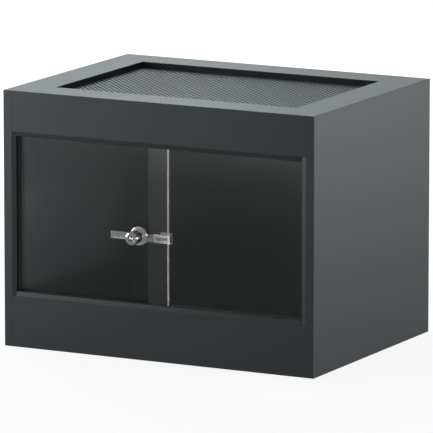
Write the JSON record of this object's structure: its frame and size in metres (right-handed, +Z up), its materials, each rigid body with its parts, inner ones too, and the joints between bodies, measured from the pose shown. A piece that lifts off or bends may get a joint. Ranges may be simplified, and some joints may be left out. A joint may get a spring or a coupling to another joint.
{
  "type": "terrarium cabinet",
  "caption": "Table-top terrarium cabinet of dark plastic board with a screened top, overlapping sliding glass doors and a ratchet showcase lock.",
  "frame": {"origin": "centre of the cabinet's underside, on the surface it stands on", "axes": "+X to the right seen from the doors, +Y from the doors to the back, +Z up"},
  "size_m": [0.4064, 0.3213, 0.3048],
  "materials": {
    "board": "fine matte grain",
    "track": "smooth satin",
    "screen": "coated, satin",
    "glass": "clear, polished edges",
    "chrome": "bright chrome plate",
    "steel": "zinc plated",
    "rubber": "matte",
    "dowel": "plain beech"
  },
  "bodies": {
    "cabinet": {"back_panel": "board", "base_panel": "board", "door_track_bottom": "track", "door_track_top": "track", "dowel_back_panel_left_1": "dowel", "dowel_back_panel_left_2": "dowel", "dowel_back_panel_right_1": "dowel", "dowel_back_panel_right_2": "dowel", "dowel_base_panel_left_1": "dowel", "dowel_base_panel_left_2": "dowel", "dowel_base_panel_right_1": "dowel", "dowel_base_panel_right_2": "dowel", "dowel_front_header_left_1": "dowel", "dowel_front_header_left_2": "dowel", "dowel_front_header_right_1": "dowel", "dowel_front_header_right_2": "dowel", "dowel_front_kick_board_left_1": "dowel", "dowel_front_kick_board_left_2": "dowel", "dowel_front_kick_board_right_1": "dowel", "dowel_front_kick_board_right_2": "dowel", "dowel_top_frame_left_1": "dowel", "dowel_top_frame_left_2": "dowel", "dowel_top_frame_right_1": "dowel", "dowel_top_frame_right_2": "dowel", "front_header": "board", "front_kick_board": "board", "left_side_panel": "board", "right_side_panel": "board", "screen_strip_back": "track", "screen_strip_front": "track", "screen_strip_left": "track", "screen_strip_right": "track", "screen_strip_screw_1": "steel", "screen_strip_screw_2": "steel", "screen_strip_screw_3": "steel", "screen_strip_screw_4": "steel", "screen_strip_screw_5": "steel", "screen_strip_screw_6": "steel", "screen_strip_screw_7": "steel", "screen_strip_screw_8": "steel", "side_channel_left": "track", "side_channel_right": "track", "top_frame": "board", "top_screen": "screen"},
    "rear_door": {"rear_glass_pane": "glass", "ratchet_bar": "chrome", "hook_clip": "chrome", "clip_rivet": "chrome", "hook_pad_front": "rubber", "hook_pad_rear": "rubber"},
    "front_door": {"front_glass_pane": "glass", "lock_housing": "chrome", "pawl_spring": "steel"},
    "lock_plug": {"lock_plug": "chrome"},
    "lock_pawl": {"lock_pawl": "steel"}
  },
  "joints": [
    {"name": "rear_door_slide", "type": "slide", "parent": "cabinet", "child": "rear_door", "axis": [1, 0, 0], "range_m": [0, 0.173]},
    {"name": "front_door_slide", "type": "slide", "parent": "cabinet", "child": "front_door", "axis": [1, 0, 0], "range_m": [-0.149, 0]},
    {"name": "lock_plug_turn", "type": "hinge", "parent": "front_door", "child": "lock_plug", "pos_m": [-0.0254, -0.16885, 0.1461], "axis": [0, -1, 0], "range_deg": [0, 90]},
    {"name": "lock_pawl_drop", "type": "slide", "parent": "front_door", "child": "lock_pawl", "axis": [0, 1, 0], "range_m": [0, 0.0008]}
  ],
  "couplings": [
    {"joint": "lock_pawl_drop", "follows": "lock_plug_turn", "m_per_rad": 0.000509}
  ]
}
